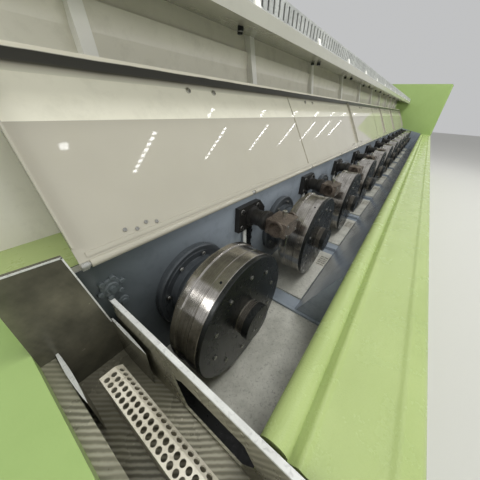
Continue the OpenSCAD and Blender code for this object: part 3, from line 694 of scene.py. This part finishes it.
# The stain is a thin film on metal: it tints the sheet, and the gloss stays. Bright
# slanting bars are painted on as reflections. The wiped edges and the strainer are paler
# and even.
BROWN_STAINLESS = ("#59574b", "#7d7a69", "#a5a18b")
wall_sheet_steel = channel_sheet("wall_sheet_stainless", ("#2c2d26", "#5f5d50", "#8a8672"),
                                 "#77735f", 0.15, 0.22)
pan_steel = channel_sheet("channel_stainless", BROWN_STAINLESS, "#dcd8c2", 0.6, 0.26)
partition_steel = channel_sheet("partition_stainless", BROWN_STAINLESS, "#bab6a1", 0.45, 0.26)
pale_steel = bare_plate("wiped_pale_stainless", ("#a3a59f", "#c6c7c1", "#d9dad4", "#ecece7"),
                        9, 0.05, 0.3)
dress(partition_steel, "near_partition")
dress(pan_steel, "channel_pan")
strainer_steel = bare_plate("strainer_sheet", ("#a39c88", "#cbc5b2", "#e0dac8", "#efeadb"),
                            18, 0.1, 0.28)
dress(strainer_steel, "strainer_plate")


def oblong(y_0, z_0, y_1, z_1):
    """The closed (y, z) outline of a rectangle, from its low corner to its high one."""
    return [(y_0, z_0), (y_1, z_0), (y_1, z_1), (y_0, z_1)]


def upright(outline, front, rear):
    """An (x, z) outline carried along Y between two depths, capped at both ends."""
    points, quads, caps = carried(outline, front, rear)
    return points[:, [1, 0, 2]], quads, caps


part_low, part_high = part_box("near_partition")
pan_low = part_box("channel_pan")[0]
SHEET_PROUD = 0.0095
SHEET_CLEAR = 0.011
# The sheet's slanting edge: how far before the partition it is, and at what height.
SLANT_FOOT = (0.0138, 1.0717)
SLANT_HEAD = (0.0551, 1.3236)
ENTRY_HEAD_Z = 1.3316
HEM_W = 0.0035
HEM_PROUD = 0.0012
TOP_HEM_W = 0.004
sheet_y = wall_face - SHEET_PROUD
corner = np.array([(pan_low.x, pan_low.z), (part_low.x - SHEET_CLEAR, pan_low.z),
                   (part_low.x - SLANT_FOOT[0], SLANT_FOOT[1]),
                   (part_low.x - SLANT_HEAD[0], SLANT_HEAD[1]), (pan_low.x, ENTRY_HEAD_Z)])
slanted = corner[2:4]
hem = np.concatenate([slanted, slanted[::-1] - (HEM_W, 0)])
top = corner[3:5]
top_hem = np.concatenate([top, top[::-1] - (0, TOP_HEM_W)])
piece("channel_wall_sheet", [
    (upright(corner, sheet_y, wall_face - 0.0003), wall_sheet_steel),
    (upright(hem, sheet_y - HEM_PROUD, sheet_y + 0.001), pale_steel),
    (upright(top_hem, sheet_y - HEM_PROUD, sheet_y + 0.001), pale_steel)], "frame")
FOLD_H = 0.0055
FOLD_PROUD = 0.0005
pale_fold = oblong(part_low.y, part_high.z - FOLD_H, part_high.y, part_high.z + FOLD_PROUD)
piece("partition_pale_fold",
      [(carried(pale_fold, part_low.x - FOLD_PROUD, part_high.x + FOLD_PROUD), pale_steel)],
      "frame")

blade_low, blade_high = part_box("guide_blades")
BLADE_T = 0.007
WORN_EDGE = 0.002
blade_shapes = []
leaf_y = np.linspace(blade_high.y, blade_low.y, 13)
swell = np.sin(np.linspace(0.15, 1, 13) * np.pi) ** 0.8
for x, width in ((blade_low.x, 0.010), (blade_high.x - BLADE_T, 0.007)):
    middle = x + BLADE_T / 2
    near = np.stack([middle - width * swell / 2, leaf_y], 1)
    far = np.stack([middle + width * swell / 2, leaf_y], 1)
    leaf = np.concatenate([near, far[::-1][1:]])
    edge_z = blade_high.z - WORN_EDGE
    for foot, head, metal in ((blade_low.z, edge_z, wall_sheet_steel),
                              (edge_z, blade_high.z, pale_steel)):
        points, quads, caps = carried(leaf, foot, head)
        blade_shapes.append(((points[:, [1, 2, 0]], quads, caps), metal))
piece("leaf_guide_blades", blade_shapes, "frame", ["guide_blades"])


# The die holders on the wall, one after each capstan: a black plate with one corner cut
# and four screws, a turned clamp with a collar, and a worn brown box with a funnel
# mouth before the die. A pale hose and a dark pipe bring it coolant.

# The boxes' worn steel shines through brown oil in spots. The holders' black steel has
# a soft sheen, and the hose is a clouded white.
die_low, die_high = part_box("die_plates")
clamp_low, clamp_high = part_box("die_clamps")
box_low, box_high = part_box("die_boxes")
brown_steel = bare_plate("worn_die_box_steel", ("#3b342e", "#61574e", "#857a6e", "#bbb2a6"),
                         7, 0.6, 0.22)
holder_steel = machined("holder_black_steel", ("#1a1a19", "#2b2a28", "#3c3b38", "#5d5b56"),
                        3.0, 0.3, 0.55, 1)
hose_white = bare_plate("clouded_hose", ("#a9a9a2", "#c6c7c1", "#d7d8d2", "#e6e7e2"),
                        10, 0.0, 0.3)
dress(holder_steel, "die_plates", "die_clamps")
dress(brown_steel, "die_boxes")

PLATE_W = 0.210
PLATE_HOLES = ((0.022, 0.020), (0.022, 0.098), (0.188, 0.020), (0.142, 0.098))
CLAMP_R = 0.050
GRIP_AHEAD = 0.075
plate_x = die_high.x - PLATE_W - capstan_x[-1]
clamp_x = clamp_high.x - CLAMP_R - capstan_x[-1]
clamp_z = (clamp_low.z + clamp_high.z) / 2
box_mid_y = (box_low.y + box_high.y) / 2
box_mid_z = (box_low.z + box_high.z) / 2
mouth_x = box_low.x - row_x
holder_shapes = []
for x in capstan_x:
    corners = [(x + plate_x + dx, die_low.y, die_low.z + dz) for dx, dz in PLATE_HOLES]
    washers = repeated(turned([(0, 0.003), (0.011, 0.003), (0.012, 0.002), (0.012, 0), (0, 0)],
                              (0, 0, 0), OUTWARD, 16), corners)
    heads = screws(np.array(corners) + (0, -0.003, 0), OUTWARD, 0.009, 0.010)
    collar = turned([(0.0425, 0.004), (0.0455, 0.004), (0.0465, 0.006), (0.0465, 0.022),
                     (0.0455, 0.024), (0.0425, 0.024), (0.0425, 0.004)],
                    (x + clamp_x, clamp_low.y, clamp_z), INWARD, 40)
    mouth = turned([(0.030, -0.004), (0.038, -0.004), (0.040, -0.002), (0.040, 0.001),
                    (0.029, 0.001), (0.030, -0.004)],
                   (x + mouth_x, box_mid_y, box_mid_z), (1, 0, 0), 32)
    grip = turned([(0, 0.030), (0.009, 0.030), (0.011, 0.028), (0.011, 0.014), (0.006, 0.012),
                   (0.006, 0), (0, 0)],
                  (x + mouth_x + GRIP_AHEAD, box_mid_y, box_high.z), (0, 0, 1), 20)
    side_screws = screws([(x + mouth_x + dx, box_low.y, box_mid_z + dz)
                          for dx in (0.015, 0.105) for dz in (-0.022, 0.022)],
                         OUTWARD, 0.006, 0.005)
    holder_shapes += [(washers, bright_steel), (heads, holder_steel), (collar, holder_steel),
                      (mouth, brown_steel), (grip, bright_steel), (side_screws, bright_steel)]
piece("die_holder_fittings", holder_shapes, "frame")


def along(path, radius, steps=12):
    """A round tube carried along a path: at each point a circle in the plane across the
    path's own direction, closed by flat ends."""
    path = np.asarray(path, float)
    way = np.gradient(path, axis=0)
    way /= np.linalg.norm(way, axis=1)[:, None]
    side = np.cross(way, (1.0, 0.0, 0.0))
    side /= np.linalg.norm(side, axis=1)[:, None]
    across = np.cross(way, side)
    t = np.arange(steps) * 2 * np.pi / steps
    points = path[:, None] + radius * (np.cos(t)[None, :, None] * side[:, None]
                                       + np.sin(t)[None, :, None] * across[:, None])
    ring = np.arange(steps)
    caps = [ring[::-1], (len(path) - 1) * steps + ring]
    return points.reshape(-1, 3), bands(len(path), steps), caps


pipe_low, pipe_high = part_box("coolant_pipes")
PIPE_R = 0.009
DARK_PIPE_R = 0.013
DARK_PIPE_BESIDE = 0.034
drop = np.linspace(0, 1, 9)
pipe_z = pipe_high.z - drop * (pipe_high.z - pipe_low.z)
y = pipe_high.y - PIPE_R
dark_y = y - 0.004
pipe_shapes = []
for middle in capstan_x:
    x = middle + pipe_low.x + PIPE_R - row_x
    dark_x = x + DARK_PIPE_BESIDE
    hose = along(np.stack([x + 0.004 * np.sin(drop * np.pi), y - 0.010 * drop ** 2,
                           pipe_z], 1), PIPE_R)
    dark = along(np.stack([np.full(9, dark_x), np.full(9, dark_y), pipe_z], 1), DARK_PIPE_R)
    nuts = repeated(turned([(0.009, 0), (0.0155, 0), (0.0165, 0.002), (0.0165, 0.014),
                            (0.0155, 0.016), (0.009, 0.016), (0.009, 0)], (0, 0, 0),
                           (0, 0, 1), 6),
                    [(dark_x, dark_y, pipe_low.z + dz) for dz in (0.02, 0.06, 0.1)])
    pipe_shapes += [(hose, hose_white), (dark, black_steel), (nuts, black_steel)]
piece("coolant_pipes_fitted", pipe_shapes, "frame", ["coolant_pipes"])


# The hinge rail on top of the wall: a bright folded strip with the lugs and the long
# pins that the hoods turn on. It is ground steel, and its lines draw out its highlights.
rail_steel = machined("bright_rail_steel", ("#8f8f8a", "#b3b3ad", "#c8c8c2", "#dededa"),
                      2.5, 0.28, 0.7, 0)
dress(rail_steel, "hinge_rail")


# The hoods: sheet steel folded once along its length, with a turned lip at the free
# edge and flanges at the ends, sprayed a warm white gloss. A hinge leaf is screwed
# along the lower edge, long hoods have a butt seam, and painted shade darkens the lip's
# bend under a painted highlight on its edge. The upper panel is painted paler, as
# painted light.
LOW_A = 59.0
UP_A = 57.0
LIP_A = 100.0
LOW_L = 0.332
UP_L = 0.134
LIP_L = 0.033
LIP_T = 0.003
SHEET = 0.004
FLANGE_W = 0.020
FLANGE_START = 0.045
FOLD_R = 0.008
KNUCKLE_R = 0.011
PIN_R = 0.0062
HINGE_PROUD = 0.008


def heading(degrees):
    """The unit (y, z) direction at an angle above level, leaning to the back."""
    a = math.radians(degrees)
    return np.array([math.cos(a), math.sin(a)])


def banked(start_l, end_l, height, start, end, root, slope, bevel=0.0):
    """A flat strip on a panel, carried along +X: each point of its outline is the panel's
    root + length * (the way up the panel) + height * (the way off it)."""
    outline = np.array([(start_l, SHEET), (start_l, SHEET + height),
                        (end_l - bevel, SHEET + height), (end_l, SHEET)])
    where = root + outline[:, :1] * heading(slope) + outline[:, 1:] * heading(slope + 90)
    return carried(where, start, end)


low_way = heading(LOW_A)
up_way = heading(UP_A)
lip_way = heading(LIP_A)
low_off = heading(LOW_A + 90)
up_off = heading(UP_A + 90)
hinge = np.array([wall_face - HINGE_PROUD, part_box("hood_1")[0].z + KNUCKLE_R])
fold = hinge + LOW_L * low_way
tip = fold + UP_L * up_way
lip_end = tip + LIP_L * lip_way
# A deep gloss with almost no peel: the lower panel mirrors the overhead tubes as
# dashes. The upper one is painted paler, as painted light where it faces the sky. The
# seam's sealer is dull and brown.
hood_enamel = enamel("warm_white_enamel", ("#a5a192", "#afab9c"), 0.03, 3.5, 0.004,
                     "#a9a591", 0.3)
upper_painted_light = enamel("upper_hood_painted_lighter", ("#d8d5c2", "#e2dfcc"), 0.04, 3.5, 0.008,
                      "#b1ae9a", 0.3)
seam_paint = enamel("hood_seam_sealer", ("#77735f", "#858069"), 0.4, 3, 0.1)
# Painted shade fills the lip's bend as a dark ragged band that fades down onto the
# upper panel, under a painted highlight along the lip's free edge.
LIP_SHADE_MM = 120
LIP_SHADE_RAGGED = 0.004
lip_shade_and_highlight = blank("lip_painted_shade_and_highlight")
lip_light_place = add(lip_shade_and_highlight, "TexCoord").outputs["Object"]
lip_light_at = add(lip_shade_and_highlight, "SeparateXYZ", {"Vector": lip_light_place})
lip_light_patch = add(lip_shade_and_highlight, "TexNoise", {"Vector": lip_light_place, "Scale": METRE_MM / LIP_SHADE_MM,
                                      "Detail": 2.0})
lip_light_wander = add(lip_shade_and_highlight, "Math", {0: lip_light_patch.outputs["Fac"], 1: LIP_SHADE_RAGGED,
                                   2: lip_light_at.outputs["Z"]}, operation="MULTIPLY_ADD")
lip_light_share = add(lip_shade_and_highlight, "MapRange", {"Value": lip_light_wander.outputs[0],
                                      "From Min": tip[1] - 0.018,
                                      "From Max": lip_end[1] + 0.002})
lip_light_tone = add(lip_shade_and_highlight, "ValToRGB", {"Fac": lip_light_share.outputs["Result"]},
                 [(0.0, "#c8c7b5"), (0.22, "#a19d8f"), (0.34, "#4a483f"), (0.44, "#33322b"),
                  (0.8, "#2f2e27"), (0.84, "#ebe6d4"), (1.0, "#f4efde")])
show(lip_shade_and_highlight, add(lip_shade_and_highlight, "BsdfPrincipled", {"Base Color": lip_light_tone.outputs["Color"],
                                          "Roughness": 0.3, "IOR": 1.5}))

hoods = sorted(name for name in frame["bodies"] if name.startswith("hood_"))
before_fold = fold - FOLD_R * low_way
panel = np.array([hinge, before_fold, fold, fold + SHEET * low_off,
                  before_fold + SHEET * low_off, hinge + SHEET * low_off])
upper_panel = np.array([fold, tip, tip + SHEET * up_off, fold + SHEET * low_off])
lip_in = LIP_T * heading(LIP_A + 90)
lip_round = lip_end - 0.002 * lip_way
lip_strip = np.array([tip - 0.001 * up_way, lip_round, lip_end + lip_in / 2,
                      lip_round + lip_in, tip + lip_in + SHEET / 2 * up_off])
flange_foot = hinge + FLANGE_START * low_way
end_plate = np.array([
    flange_foot, fold, tip, tip + FLANGE_W * up_off,
    fold + FLANGE_W * heading((LOW_A + UP_A) / 2 + 90), flange_foot + FLANGE_W * low_off])
BAY_L = 0.7
LUG_W = 0.022
END_LUG_W = 0.021
LUG_CLEAR = 0.004
LONG = 2.0
SEAM_AT = 1.378
SCREWS_IN = 0.126
SCREW_PITCH = 0.031
FIRST_PAIR = 0.626
PAIR_PITCH = 1.083
PAIR_HALF = 0.068
PAIR_UP = 0.102
rise = fold + PAIR_UP * up_way + SHEET * up_off
for name in hoods:
    low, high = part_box(name)
    run = high.x - low.x
    bays = round(run / BAY_L)
    shapes = [(carried(panel, low.x, high.x), hood_enamel),
              (carried(upper_panel, low.x, high.x), upper_painted_light),
              # A strip at the top of the upper panel, and the lip, carry the painted shade and
              # highlight.
              (banked(UP_L - 0.026, UP_L - 0.001, 0.0004, low.x + 0.001, high.x - 0.001,
                      fold, UP_A), lip_shade_and_highlight),
              (carried(lip_strip, low.x, high.x), lip_shade_and_highlight)]
    for x in (low.x, high.x - SHEET):
        shapes.append((carried(end_plate, x, x + SHEET), hood_enamel))
    gaps = [low.x + BAY_L * k for k in range(bays)] + [high.x]
    for k in range(bays):
        start = gaps[k] + (LUG_W if k else END_LUG_W)
        end = gaps[k + 1] - (LUG_CLEAR if k < bays - 1 else LUG_W)
        shapes.append((turned([(PIN_R, 0), (KNUCKLE_R, 0), (KNUCKLE_R, end - start),
                               (PIN_R, end - start), (PIN_R, 0)],
                              (start, *hinge), (1, 0, 0), 16), hood_enamel))
    shapes.append((banked(0.016, 0.029, 0.0025, low.x + 0.02, high.x - 0.02, hinge, LOW_A,
                          bevel=0.002), hood_enamel))
    if run > LONG:
        for dx in (-0.004, 0.004):
            x = low.x + SEAM_AT + dx
            for start_l, end_l, root, slope in ((0.03, LOW_L - 0.006, hinge, LOW_A),
                                                (0.006, UP_L - 0.004, fold, UP_A)):
                shapes.append((banked(start_l, end_l, 0.001, x, x + 0.003, root, slope),
                               seam_paint))
    places = []
    for side, edge in ((1, low.x), (-1, high.x)):
        for k in range(4):
            y, z = hinge + (0.045 - 0.009 * (k % 2)) * low_way + SHEET * low_off
            places.append((edge + side * (SCREWS_IN + SCREW_PITCH * k), y, z))
    shapes.append((screws(places, (0.0, *low_off), 0.0055, 0.003, 10), bright_steel))
    places = [(low.x + x + dx, *rise) for x in np.arange(FIRST_PAIR, run - 0.2, PAIR_PITCH)
              for dx in (-PAIR_HALF, PAIR_HALF)]
    shapes.append((screws(places, (0.0, *up_off), 0.010, 0.006, 12), bright_steel))
    piece(f"{name}_folded", shapes, name, [name])


# The electrical enclosure on the gear case. Its light grey front panels lean back a
# little, thin pale posts cover their joints, doors close the back, and a boxed roof
# with dark sockets under it slopes down over the hoods. All is folded, sprayed sheet.

# The panels' gloss mirrors the posts and the roof softly. The posts' duller coat stays
# white against them.
panel_enamel = enamel("light_grey_enamel", ("#e0ddcc", "#eae7d7"), 0.12, 3, 0.06,
                      "#b9b6a4", 0.4)
post_enamel = enamel("pale_post_enamel", ("#f1f0e6", "#f7f6ee"), 0.3, 3, 0.12,
                     "#dedcd0", 0.2)
roof_enamel = enamel("roof_grey_enamel", ("#a9a89b", "#b3b2a5"), 0.14, 3, 0.03,
                     "#8f8e82", 0.2)
dress(panel_enamel, "rear_enclosure", "rear_doors")

house_low, house_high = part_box("rear_enclosure")
roof_low, roof_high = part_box("canopy")
post_low, post_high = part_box("rear_posts")
PANEL_AT = (0.289, 1.7255)
PANEL_LEAN = 0.205
MEET_NEAR_Z = 1.929
EAVE_SLOPE = 0.2175
EAVE_IN = 0.368
POST_W = 0.042
POST_T = 0.034
POST_PITCH = 0.8575
FIRST_SOCKET = 0.172
SOCKET_PITCH = 0.9
SOCKET_PAIR = ((0.060, 0.245), (-0.060, 0.150))
ROOF_T = roof_high.z - roof_low.z


def leaning_y(z, off=0.0):
    """Where a front panel lies at a height: through PANEL_AT, by the hoods' tips, and
    back by PANEL_LEAN for each metre up. off moves it towards the front."""
    return PANEL_AT[0] + (z - PANEL_AT[1]) * PANEL_LEAN - off


eave_z = roof_low.z + EAVE_IN * EAVE_SLOPE
eave_y = roof_low.y + EAVE_IN
meet_z = roof_low.z + (leaning_y(MEET_NEAR_Z) - roof_low.y) * EAVE_SLOPE
front_panels = np.array([
    (leaning_y(house_low.z), house_low.z), (house_low.y - 0.0003, house_low.z),
    (house_low.y - 0.0003, roof_low.z), (eave_y, roof_low.z), (eave_y, eave_z),
    (leaning_y(meet_z), meet_z)])
piece("leaning_front_panels", [(carried(front_panels, house_low.x, house_high.x), panel_enamel)],
      "frame")
post_shapes = []
for x in np.arange(post_low.x + 0.03, post_high.x - POST_W + 0.001, POST_PITCH):
    outline = np.array([(leaning_y(z, off), z) for z, off in (
        (house_low.z, POST_T), (meet_z - 0.0075, POST_T), (meet_z - 0.0005, -0.0005),
        (house_low.z, -0.0005))])
    post_shapes.append((carried(outline, x, x + POST_W), post_enamel))
piece("thin_posts", post_shapes, "frame", ["rear_posts"])
roof = np.array([
    (roof_low.y, roof_low.z), (roof_low.y, roof_high.z - 0.004),
    (roof_low.y + 0.004, roof_high.z), (eave_y, eave_z + ROOF_T), (roof_high.y, eave_z + ROOF_T),
    (roof_high.y, roof_low.z), (eave_y + 0.0003, roof_low.z), (eave_y + 0.0003, eave_z)])
roof_shapes = [(carried(roof, roof_low.x, roof_high.x), roof_enamel)]
for x in np.arange(roof_low.x + FIRST_SOCKET, roof_high.x - 0.3, SOCKET_PITCH):
    for dx, y in SOCKET_PAIR:
        z = roof_low.z + (y - roof_low.y) * EAVE_SLOPE
        roof_shapes.append((turned([(0, 0.016), (0.011, 0.016), (0.013, 0.013), (0.013, 0),
                                    (0, 0)], (x + dx, y, z), (0, 0, -1), 14), black_steel))
piece("sloping_roof", roof_shapes, "frame", ["canopy"])


# The cable duct along the roof's front edge: a pale slotted channel with fingers, a
# closed lid, and small brackets that hold it down about every 0.6 m.
duct_low, duct_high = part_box("cable_duct")
FINGER_W = 0.028
FINGER_PITCH = 0.040
BED_H = 0.012
LID_H = 0.008
CORE_IN = 0.004
BRACKET_W = 0.035
BRACKET_PITCH = 0.6
CABLE_MM = 30
# Dull zinc, pale and softly clouded.
duct_zinc = bare_plate("galvanised_duct", ("#989b98", "#b4b6b2", "#c6c8c3", "#dadbd6"),
                       16, 0.3, 0.4)
# The cables' matt sheath stays dark deep in the slots.
cables = blank("dark_cables")
cable_place = add(cables, "TexCoord").outputs["Object"]
cable_noise = add(cables, "TexNoise", {"Vector": cable_place, "Scale": METRE_MM / CABLE_MM,
                                       "Detail": 3.0})
cable_tone = add(cables, "ValToRGB", {"Fac": cable_noise.outputs["Fac"]},
                 [(0.0, "#1c1d1c"), (1.0, "#3a3b38")])
show(cables, add(cables, "BsdfPrincipled", {"Base Color": cable_tone.outputs["Color"],
                                            "Roughness": 0.8}))
bed_z = duct_low.z + BED_H
lid_z = duct_high.z - LID_H
bed = oblong(duct_low.y, duct_low.z, duct_high.y, bed_z)
lid = oblong(duct_low.y, lid_z, duct_high.y, duct_high.z)
core = oblong(duct_low.y + CORE_IN, bed_z, duct_high.y - CORE_IN, lid_z)
finger = carried(oblong(duct_low.y, bed_z, duct_high.y, lid_z), 0, FINGER_W)
bracket = carried([(duct_low.y - 0.012, duct_low.z), (duct_low.y, duct_low.z),
                   (duct_low.y, duct_low.z + 0.030)], 0, BRACKET_W)
fingers = [(x, 0, 0) for x in np.arange(duct_low.x, duct_high.x - FINGER_W, FINGER_PITCH)]
brackets = [(x, 0, 0) for x in np.arange(duct_low.x + 0.3, duct_high.x - 0.1, BRACKET_PITCH)]
piece("slotted_cable_duct", [
    (carried(bed, duct_low.x, duct_high.x), duct_zinc),
    (carried(lid, duct_low.x, duct_high.x), duct_zinc),
    (carried(core, duct_low.x + 0.002, duct_high.x - 0.002), cables),
    (repeated(finger, fingers), duct_zinc), (repeated(bracket, brackets), post_enamel)],
    "frame", ["cable_duct"])


# The closed housings at the two ends: folded sheet with round corners and flat covers,
# in the same green, a little duller than the rim.
housing_enamel = enamel("housing_green_enamel", ("#93ac66", "#9fb872"), 0.3, 3, 0.2,
                        "#86a35c", 0.2)
dress(housing_enamel, "near_housing", "far_housing")
